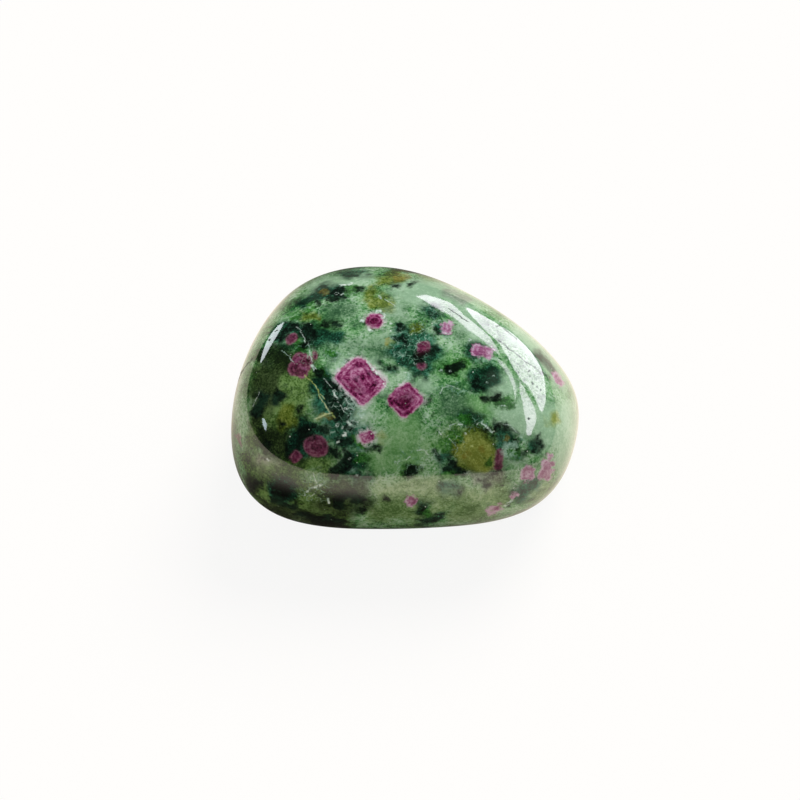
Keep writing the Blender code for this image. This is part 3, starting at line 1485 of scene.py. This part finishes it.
    def _distance_group(self, turned: bool) -> bpy.types.NodeTree:
        """Make a group that measures how far the rock lies from one grain.

        Args:
            turned: Whether its grains are turned in the picture.

        Returns:
            The group: its result is the lesser of that distance and the one passed in.
        """
        group = bpy.data.node_groups.new("distance to a grain", "ShaderNodeTree")
        sockets = ["Position", "Centre", "Core", "Rounding", "Nearest"]
        if turned:
            sockets += ["Along", "Across"]
        for name in sockets:
            kind = "NodeSocketFloat" if name in ("Rounding", "Nearest") else "NodeSocketVector"
            group.interface.new_socket(name, in_out="INPUT", socket_type=kind)
        group.interface.new_socket("Distance", in_out="OUTPUT", socket_type="NodeSocketFloat")
        given = group.nodes.new("NodeGroupInput").outputs
        place = add(group, "VectorMath", {0: given["Position"], 1: given["Centre"]}, operation="SUBTRACT")
        if turned:
            parts = {
                axis: add(group, "VectorMath", {0: place, 1: direction}, operation="DOT_PRODUCT")
                for axis, direction in enumerate((given["Along"], given["Across"], (0.0, 0.0, 1.0)))
            }
            place = add(group, "CombineXYZ", parts)
        folded = add(group, "VectorMath", {0: place}, operation="ABSOLUTE")
        beyond = add(group, "VectorMath", {0: folded, 1: given["Core"]}, operation="SUBTRACT")
        outside = add(group, "VectorMath", {0: beyond, 1: (0.0, 0.0, 0.0)}, operation="MAXIMUM")
        length = add(group, "VectorMath", {0: outside}, operation="LENGTH")
        distance = add(group, "Math", {0: length, 1: given["Rounding"]}, operation="SUBTRACT")
        nearest = add(group, "Math", {0: distance, 1: given["Nearest"]}, operation="MINIMUM")
        feed(group.nodes.new("NodeGroupOutput"), {0: nearest})
        return group

    def _warped(self, reach_mm: float) -> bpy.types.Node:
        """Shift the position by a noise, and turn it to the photograph's axes.

        Args:
            reach_mm: How far the shift goes, from one extreme to the other.

        Returns:
            The node with the shifted position.
        """
        stretch = self.swing / 2 * reach_mm
        links = {0: self.layers["warp"].outputs["Color"], 1: (stretch,) * 3, 2: (-stretch / 2,) * 3}
        shift = add(self.tree, "VectorMath", links, operation="MULTIPLY_ADD")
        shifted = add(self.tree, "VectorMath", {0: self.place, 1: shift}, operation="ADD")
        right, up, ahead = self.view.axes()
        parts = {
            axis: add(self.tree, "VectorMath", {0: shifted, 1: tuple(direction)}, operation="DOT_PRODUCT")
            for axis, direction in enumerate((right, up, -ahead))
        }
        return add(self.tree, "CombineXYZ", parts)

    def _mottling(self, weights: tuple[tuple[str, float], ...]) -> bpy.types.Node:
        """Sum layers to one mottling round a half.

        Args:
            weights: The names of the layers, and how much of each goes in.

        Returns:
            The node with the sum.
        """
        total: bpy.types.Node | float = 0.5 - sum(weight for _, weight in weights) / 2
        for name, weight in weights:
            links = {0: self.layers[name], 1: weight, 2: total}
            total = add(self.tree, "Math", links, operation="MULTIPLY_ADD")
        return total

    def _nearest(
        self, mineral: Mineral, distance: bpy.types.NodeSocket, place: bpy.types.Node
    ) -> bpy.types.Node:
        """Measure the distance to a mineral's nearest crisp grain.

        Args:
            mineral: The mineral.
            distance: The distance to its strewn grains.
            place: The position that is measured from, on the photograph's axes.

        Returns:
            The node with the distance in millimetres, negative inside a grain.
        """
        picture = np.stack(self.view.axes()) * ((1,), (1,), (-1,))
        nearest = distance
        for grain in mineral.grains:
            centre, _, core, rounding = self.rock.block(grain)
            links = {
                "Position": place,
                "Centre": tuple(picture @ centre),
                "Core": tuple(core),
                "Rounding": rounding,
                "Nearest": nearest,
            }
            turned = bool(grain.turn_deg)
            if turned:
                turn = math.radians(grain.turn_deg)
                links["Along"] = (math.cos(turn), math.sin(turn), 0.0)
                links["Across"] = (-math.sin(turn), math.cos(turn), 0.0)
            nearest = add(self.tree, "Group", links, node_tree=self.distance_groups[turned])
        return nearest

    def _cover(self, mineral: Mineral, distance: Source, texture: bpy.types.Node) -> bpy.types.Node:
        """Turn a distance to how much of the rock the mineral covers.

        Args:
            mineral: The mineral.
            distance: The distance to its nearest grain.
            texture: The noise that makes its edge ragged.

        Returns:
            The node with a number from zero to the mineral's cover.
        """
        push = self.swing * mineral.ragged_mm
        ragged = add(self.tree, "Math", {0: texture, 1: push, 2: -push / 2}, operation="MULTIPLY_ADD")
        edge = add(self.tree, "Math", {0: distance, 1: ragged}, operation="ADD")
        most: bpy.types.Node | float = mineral.cover
        if mineral.gaps is Gaps.GRIT:
            grit = replace(self.grit, last=mineral.cover)
            most = add(self.tree, "MapRange", grit.along(self.layers["fine"]))
        if mineral.gaps is Gaps.NET:
            vein = replace(self.net_vein, first=mineral.cover)
            veins = add(self.tree, "MapRange", vein.along(self.net))
            gaps = add(self.tree, "MapRange", self.net_gaps.along(self.layers["fine"]))
            most = add(self.tree, "Math", {0: veins, 1: gaps}, operation="MULTIPLY")
        inner, outer = (share * mineral.fade_mm for share in self.fade_reach)
        links = Fade(inner, outer, last=0.0).along(edge) | {"To Min": most}
        return add(self.tree, "MapRange", links, interpolation_type="SMOOTHSTEP")

    def _coats(self, mineral: Mineral) -> bpy.types.Node:
        """Shade a ruby crystal: pale at its faces, deep at its heart, with wavering growth lines.

        Args:
            mineral: The ruby.

        Returns:
            The node with the place on the ruby's ramp.
        """
        depth = add(self.tree, "Attribute", attribute_name=mineral.name + DEPTH).outputs["Fac"]
        pale_face = add(self.tree, "MapRange", self.pale_face.along(depth))
        deep_heart = add(self.tree, "MapRange", self.deep_heart.along(depth))
        parting = add(self.tree, "MapRange", self.parting.along(self.net))
        bend = add(self.tree, "Math", {0: self.layers["coats"], 1: self.coat_waver}, operation="MULTIPLY")
        links = {0: depth, 1: 2 * math.pi / self.coat_mm, 2: bend}
        phase = add(self.tree, "Math", links, operation="MULTIPLY_ADD")
        wave = add(self.tree, "Math", {0: phase}, operation="SINE")
        line = add(self.tree, "MapRange", self.growth_line.along(wave))
        weight, offset = self.blotches
        links = {0: self.layers["blotches"], 1: weight, 2: offset}
        value = add(self.tree, "Math", links, operation="MULTIPLY_ADD")
        for part in (self.sparkle, pale_face, deep_heart, parting, line):
            value = add(self.tree, "Math", {0: value, 1: part}, operation="ADD")
        return value

    def _rim(self, colour: bpy.types.Node, distance: bpy.types.Node) -> bpy.types.Node:
        """Lay the broken, pale rim that the rock has round a crystal.

        Args:
            colour: The rock's colour so far.
            distance: The distance to the nearest crystal.

        Returns:
            The node with the colour and the rim.
        """
        near = add(self.tree, "MapRange", self.rim_reach.along(distance))
        broken = add(self.tree, "MapRange", self.rim_grit.along(self.layers["fine"]))
        stretches = add(self.tree, "MapRange", self.rim_stretches.along(self.layers["coarse"]))
        speckled = add(self.tree, "Math", {0: near, 1: broken}, operation="MULTIPLY")
        factor = add(self.tree, "Math", {0: speckled, 1: stretches}, operation="MULTIPLY")
        links = {"Factor": factor, "A": colour, "B": linear(self.rim_colour)}
        return add(self.tree, "Mix", links, data_type="RGBA")

    def _filaments(self, colour: bpy.types.Node) -> bpy.types.Node:
        """Thread the rock with hair-fine pale filaments, in two sizes, where a slow noise lets them.

        Args:
            colour: The rock's colour so far.

        Returns:
            The node with the colour and the filaments.
        """
        patches = add(self.tree, "MapRange", self.filament_patches.along(self.layers["coarse"]))
        for name, thin, strength in self.filaments:
            offset = add(self.tree, "Math", {0: self.layers[name], 1: 0.5}, operation="SUBTRACT")
            ridge = add(self.tree, "Math", {0: offset}, operation="ABSOLUTE")
            line = add(self.tree, "MapRange", Fade(0.0, thin, strength, 0.0).along(ridge))
            factor = add(self.tree, "Math", {0: line, 1: patches}, operation="MULTIPLY")
            links = {"Factor": factor, "A": colour, "B": linear(self.filament_colour)}
            colour = add(self.tree, "Mix", links, data_type="RGBA")
        return colour

    def _specks(self, colour: bpy.types.Node) -> bpy.types.Node:
        """Strew tiny pale specks, in swarms.

        Args:
            colour: The rock's colour so far.

        Returns:
            The node with the colour and the specks.
        """
        links = {"Vector": self.place, "Scale": 1 / self.speck_room_mm}
        cells = add(self.tree, "TexVoronoi", links, feature="F1")
        chance = add(self.tree, "SeparateColor", {0: cells.outputs["Color"]})
        radius = add(self.tree, "MapRange", self.speck_radius.along(chance))
        inside = add(self.tree, "Math", {0: radius, 1: cells.outputs["Distance"]}, operation="SUBTRACT")
        speck = add(self.tree, "MapRange", self.speck_edge.along(inside))
        haze = add(self.tree, "Attribute", attribute_name=DARK_HAZE.name).outputs["Fac"]
        swarm = add(self.tree, "MapRange", self.speck_swarm.along(haze))
        factor = add(self.tree, "Math", {0: speck, 1: swarm}, operation="MULTIPLY")
        links = {"Factor": factor, "A": colour, "B": linear(self.speck_colour)}
        return add(self.tree, "Mix", links, data_type="RGBA")


@dataclass
class Pebble:
    """The stone itself: a fine skin on the flats, pressed flat where it rests."""

    skin: TumbledSkin
    name: str = "polished_stone"
    subdivisions: int = 7
    # How softly the skin turns into the resting face.
    rim_softness_mm: float = 0.12
    # Hand tumbling leaves the polish slightly wavy: how deep, from crest to crest, and from what height.
    waviness_mm: float = 0.05
    wave_mm: float = 7.0
    wave_start_mm: float = 2.0

    def build(self) -> bpy.types.Object:
        """Shape the skin and give it to Blender.

        Returns:
            The stone's object, at the origin.
        """
        bpy.ops.object.select_all(action="DESELECT")
        bpy.ops.mesh.primitive_ico_sphere_add(subdivisions=self.subdivisions, radius=1.0)
        stone = bpy.context.object
        stone.name = self.name
        stone.data.name = self.name
        self._wear(stone.data)
        self._ripple(stone)
        bpy.ops.object.shade_smooth()
        self._tell(stone)
        return stone

    def _wear(self, mesh: bpy.types.Mesh) -> None:
        """Move a unit sphere's vertices out to the skin, flatten its base and centre it.

        Args:
            mesh: The sphere's mesh, changed in place.
        """
        rays = vertex_rows(mesh, "co")
        rays /= np.linalg.norm(rays, axis=1, keepdims=True)
        heart = self.skin.heart
        places = heart + rays / self.skin.fullness(heart + rays)[:, None]
        height = places[:, 2]
        places[:, 2] = (height + np.sqrt(height**2 + self.rim_softness_mm**2)) / 2
        places[:, 2] -= places[:, 2].min()
        shift = -(places.max(0) + places.min(0)) / 2
        shift[2] = 0.0
        places += shift
        self.skin.heart = heart + shift
        mesh.vertices.foreach_set("co", (places * MM).ravel())
        mesh.update()

    def _ripple(self, stone: bpy.types.Object) -> None:
        """Sink the skin a little in slow waves, but not its resting face.

        Args:
            stone: The stone, which is the active object.
        """
        above = stone.vertex_groups.new(name="above the base")
        for vertex in stone.data.vertices:
            above.add([vertex.index], min(vertex.co.z / (self.wave_start_mm * MM), 1.0), "REPLACE")
        waves = bpy.data.textures.new("slow waves of the polish", "CLOUDS")
        waves.noise_scale = self.wave_mm * MM
        waves.noise_depth = 1
        ripple = stone.modifiers.new("ripple", "DISPLACE")
        ripple.texture = waves
        ripple.texture_coords = "LOCAL"
        ripple.vertex_group = above.name
        ripple.mid_level = 1.0
        ripple.strength = self.waviness_mm * MM
        bpy.ops.object.modifier_apply(modifier=ripple.name)

    def _tell(self, stone: bpy.types.Object) -> None:
        """Tell the frame what the stone rides on and stands for.

        Args:
            stone: The finished stone.
        """
        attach(stone, BODY)
        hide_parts(NODE)


@dataclass(frozen=True)
class Pane:
    """A softbox cut to the outline that its mirror image has in the photograph."""

    name: str
    radiance: float
    tint: str
    outline_px: tuple[tuple[float, float], ...]


@dataclass
class Studio:
    """A pale floor, soft light from all round, and the window that mirrors in the polish."""

    view: PhotoView
    skin: TumbledSkin
    floor_m: float = 6.0
    pane_distance_mm: float = 3000.0
    # Warm paper: the polish mirrors it as a cream band round the stone's lower side.
    floor_colour: str = "#fbeedb"
    floor_glow: float = 1.15
    # How far the light bleaches the floor that the camera sees: at 1 no shadow would be left.
    floor_bleach: float = 0.9
    # A painted shadow of the pebble in the floor's glow, as the polish mirrors it: its middle, its core and
    # its end.
    shade_mm: tuple[float, float] = (-8.0, -14.0)
    shade_reach_mm: tuple[float, float] = (9.0, 32.0)
    shade_glow: float = 0.03
    # Painted dusk in the floor's glow behind the pebble: where that is, and where it starts and is full.
    dusk_azimuth_deg: float = 100.0
    dusk_spread_deg: tuple[float, float] = (26.0, 6.0)
    dusk_glow: float = 0.1
    room_colour: str = "#8fa096"
    room_strength: float = 0.1
    dome_strength: float = 0.36
    key_strength: float = 2.9
    key_azimuth_deg: float = 35.0
    key_elevation_deg: float = 48.0
    key_spread_deg: float = 36.0
    panes: tuple[Pane, ...] = (
        Pane(
            "upper pane",
            6.0,
            "#f6e6fb",
            (
                (417, 296), (428, 295), (439, 298), (450, 302.5), (456, 307), (464, 315), (473, 322),
                (480.5, 328), (487, 334), (494, 343), (498, 350.5), (500, 357), (493, 349.5),
                (486, 344), (477, 336), (468, 329.5), (460.5, 322), (450.5, 315), (441.5, 310.5),
                (433, 305), (424, 299.5),
            ),
        ),
        Pane(
            "main pane",
            6.8,
            "#f6e6fb",
            (
                (466, 307), (475, 310.5), (484, 315.5), (493, 320.5), (502, 327), (512, 333),
                (520.5, 340.5), (528.5, 348.5), (536, 358.5), (540.5, 366), (544, 376),
                (545.5, 388), (545.5, 402), (542, 412), (539.5, 409), (534, 395), (528, 386),
                (520.5, 378.5), (514, 369.5), (509.5, 360.5), (505, 353), (500.5, 345), (495, 338.5),
                (488, 333), (481.5, 326), (475, 319.5), (468, 311.5),
            ),
        ),
        Pane(
            "first inner sliver",
            4.6,
            "#f6e6fb",
            (
                (497, 359), (502, 362), (507, 367), (511.5, 374), (515, 383), (516, 392),
                (515, 402), (512.5, 386), (508, 376), (503, 368.5), (498.5, 363),
            ),
        ),
        Pane(
            "second inner sliver",
            6.0,
            "#f6e6fb",
            (
                (519, 380.5), (523, 385), (526, 391.5), (531.5, 401), (535, 408), (536.5, 415.5),
                (536, 422), (533, 429), (531, 434.5), (528, 435.5), (526, 432), (527, 426.5),
                (526, 420), (524.5, 412), (523, 403), (521, 395.5), (519.5, 388),
            ),
        ),
        Pane(
            "left sliver",
            6.4,
            "#e8f0f6",
            (
                (283.5, 322), (277, 326), (271.5, 333), (267, 340.5), (263.5, 349.5), (260.5, 359.5),
                (260.5, 363), (264, 358), (268.5, 349.5), (273, 341.5), (277, 335), (280.5, 328.5),
            ),
        ),
        Pane(
            "left glint",
            7.0,
            "#dcecfb",
            ((262, 418), (264, 418), (266.5, 424.5), (265.5, 430.5), (264, 428.5), (262, 422)),
        ),
    )

    def build(self) -> None:
        """Make the floor, the sky, the key light, the panes and the camera."""
        self._floor()
        self._sky()
        self._key()
        for pane in self.panes:
            self._softbox(pane)
        self._camera()

    def _floor(self) -> None:
        """Lay a plain pale floor, which is lit until it comes out white."""
        bpy.ops.object.select_all(action="DESELECT")
        bpy.ops.mesh.primitive_plane_add(size=self.floor_m)
        floor = bpy.context.object
        floor.name = "floor"
        # Matt paper with more light on it than the picture holds: plain white, with only a breath of shadow.
        paper = bpy.data.materials.new("over-exposed warm paper")
        paper.use_nodes = True
        tree = paper.node_tree
        matte = tree.nodes["Principled BSDF"]
        feed(matte, {"Base Color": linear(self.floor_colour), "Roughness": 1.0, "Specular IOR Level": 0.0})
        white = add(tree, "Emission", {"Color": linear(WHITE), "Strength": 1.0})
        # The polish mirrors no lit paper here but a painted glow, with the pebble's painted shadow and
        # painted dusk in it.
        glow = self._mirrored_glow(tree)
        mirrored = add(tree, "Emission", {"Color": linear(self.floor_colour), "Strength": glow})
        ray = add(tree, "LightPath")
        in_polish = add(tree, "MixShader", {0: ray.outputs["Is Glossy Ray"], 1: matte, 2: mirrored})
        links = {0: ray.outputs["Is Camera Ray"], 1: self.floor_bleach}
        bleached = add(tree, "Math", links, operation="MULTIPLY")
        mixed = add(tree, "MixShader", {0: bleached, 1: in_polish, 2: white})
        feed(tree.nodes["Material Output"], {"Surface": mixed})
        floor.data.materials.append(paper)

    def _mirrored_glow(self, tree: bpy.types.NodeTree) -> bpy.types.Node:
        """Work out how brightly the polish mirrors each place of the floor: a painted glow, with a painted
        shadow and painted dusk.

        Args:
            tree: The floor's tree.

        Returns:
            The node with the strength.
        """
        place = add(tree, "TexCoord").outputs["Object"]
        shade_at = tuple(offset * MM for offset in self.shade_mm)
        away = add(tree, "VectorMath", {0: place, 1: (*shade_at, 0.0)}, operation="DISTANCE")
        near, far = (reach * MM for reach in self.shade_reach_mm)
        shade = Fade(near, far, self.shade_glow, self.floor_glow)
        shaded = add(tree, "MapRange", shade.along(away), interpolation_type="SMOOTHSTEP")
        direction = add(tree, "VectorMath", {0: place}, operation="NORMALIZE")
        azimuth = math.radians(self.dusk_azimuth_deg)
        middle = (math.cos(azimuth), math.sin(azimuth), 0.0)
        towards = add(tree, "VectorMath", {0: direction, 1: middle}, operation="DOT_PRODUCT")
        clear, dim = (math.cos(math.radians(angle)) for angle in self.dusk_spread_deg)
        dusk = Fade(dim, clear, self.dusk_glow, 1.0)
        kept = add(tree, "MapRange", dusk.along(towards), interpolation_type="SMOOTHSTEP")
        return add(tree, "Math", {0: shaded, 1: kept}, operation="MULTIPLY")

    def _sky(self) -> None:
        """Light everything softly, but show the polish a dim room to mirror."""
        world = bpy.data.worlds.new("soft studio")
        bpy.context.scene.world = world
        world.use_nodes = True
        tree = world.node_tree
        tree.nodes.clear()
        ray = add(tree, "LightPath")
        dome = add(tree, "Background", {"Color": linear(WHITE), "Strength": self.dome_strength})
        room = add(tree, "Background", {"Color": linear(self.room_colour), "Strength": self.room_strength})
        white = add(tree, "Background", {"Color": linear(WHITE), "Strength": 1.0})
        mirrored = add(tree, "MixShader", {0: ray.outputs["Is Glossy Ray"], 1: dome, 2: room})
        seen = add(tree, "MixShader", {0: ray.outputs["Is Camera Ray"], 1: mirrored, 2: white})
        add(tree, "OutputWorld", {"Surface": seen})

    def _key(self) -> None:
        """Light the stone softly from the window's side, behind it on the right."""
        azimuth = math.radians(self.key_azimuth_deg)
        tilt = math.radians(90 - self.key_elevation_deg)
        bpy.ops.object.light_add(type="SUN", rotation=(tilt, 0.0, math.pi - azimuth))
        lamp = bpy.context.object
        lamp.name = "window_light"
        lamp.data.energy = self.key_strength
        lamp.data.angle = math.radians(self.key_spread_deg)
        lamp.visible_glossy = False

    def _softbox(self, pane: Pane) -> None:
        """Hang a pane where the polish mirrors it at the pane's outline.

        Args:
            pane: The pane, with its outline in the photograph.
        """
        eye = self.view.eye(self.skin.heart)
        corners = []
        for x_px, y_px in pane.outline_px:
            ray = self.view.ray(x_px, y_px)
            place = self.skin.meet(eye, ray)
            normal = self.skin.outward(place)
            mirrored = ray - 2 * float(ray @ normal) * normal
            corners.append((place + mirrored * self.pane_distance_mm) * MM)
        mesh = bpy.data.meshes.new(pane.name)
        mesh.from_pydata([tuple(corner) for corner in corners], [], [range(len(corners))])
        box = bpy.data.objects.new(pane.name.replace(" ", "_"), mesh)
        bpy.context.scene.collection.objects.link(box)
        # Daylight in a window pane: an even glow, which the polish mirrors as a patch with crisp edges.
        glow = bpy.data.materials.new(pane.name + " glow")
        glow.use_nodes = True
        tree = glow.node_tree
        tree.nodes.clear()
        lamp = add(tree, "Emission", {"Color": linear(pane.tint), "Strength": pane.radiance})
        add(tree, "OutputMaterial", {"Surface": lamp})
        mesh.materials.append(glow)
        box.visible_camera = False
        box.visible_diffuse = False
        box.visible_shadow = False

    def _camera(self) -> None:
        """Stand the camera where the photograph was taken."""
        right, up, ahead = self.view.axes()
        turn = Matrix((right, up, -ahead)).transposed().to_4x4()
        bpy.ops.object.camera_add()
        camera = bpy.context.object
        camera.name = "camera"
        camera.matrix_world = Matrix.Translation(self.view.eye(self.skin.heart) * MM) @ turn
        lens = camera.data
        lens.sensor_width = self.view.sensor_mm
        lens.lens = self.view.focal_px * self.view.sensor_mm / self.view.frame_px
        lens.clip_start, lens.clip_end = self.view.clip_m
        bpy.context.scene.camera = camera
        bpy.context.scene.view_settings.view_transform = "Standard"


def main() -> None:
    """Build the stone and its studio, in order."""
    logging.basicConfig(level=logging.INFO, format="%(message)s")
    skin = TumbledSkin()
    stone = Pebble(skin).build()
    log.info("%s: %d faces", stone.name, len(stone.data.polygons))
    view = PhotoView()
    rock = Rock(view, skin)
    rock.survey(stone)
    stone.data.materials.append(RubyInZoisite(view, rock).material())
    log.info("%s: %d minerals", stone.name, len(MINERALS))
    Studio(view, skin).build()


if __name__ == "__main__":
    main()
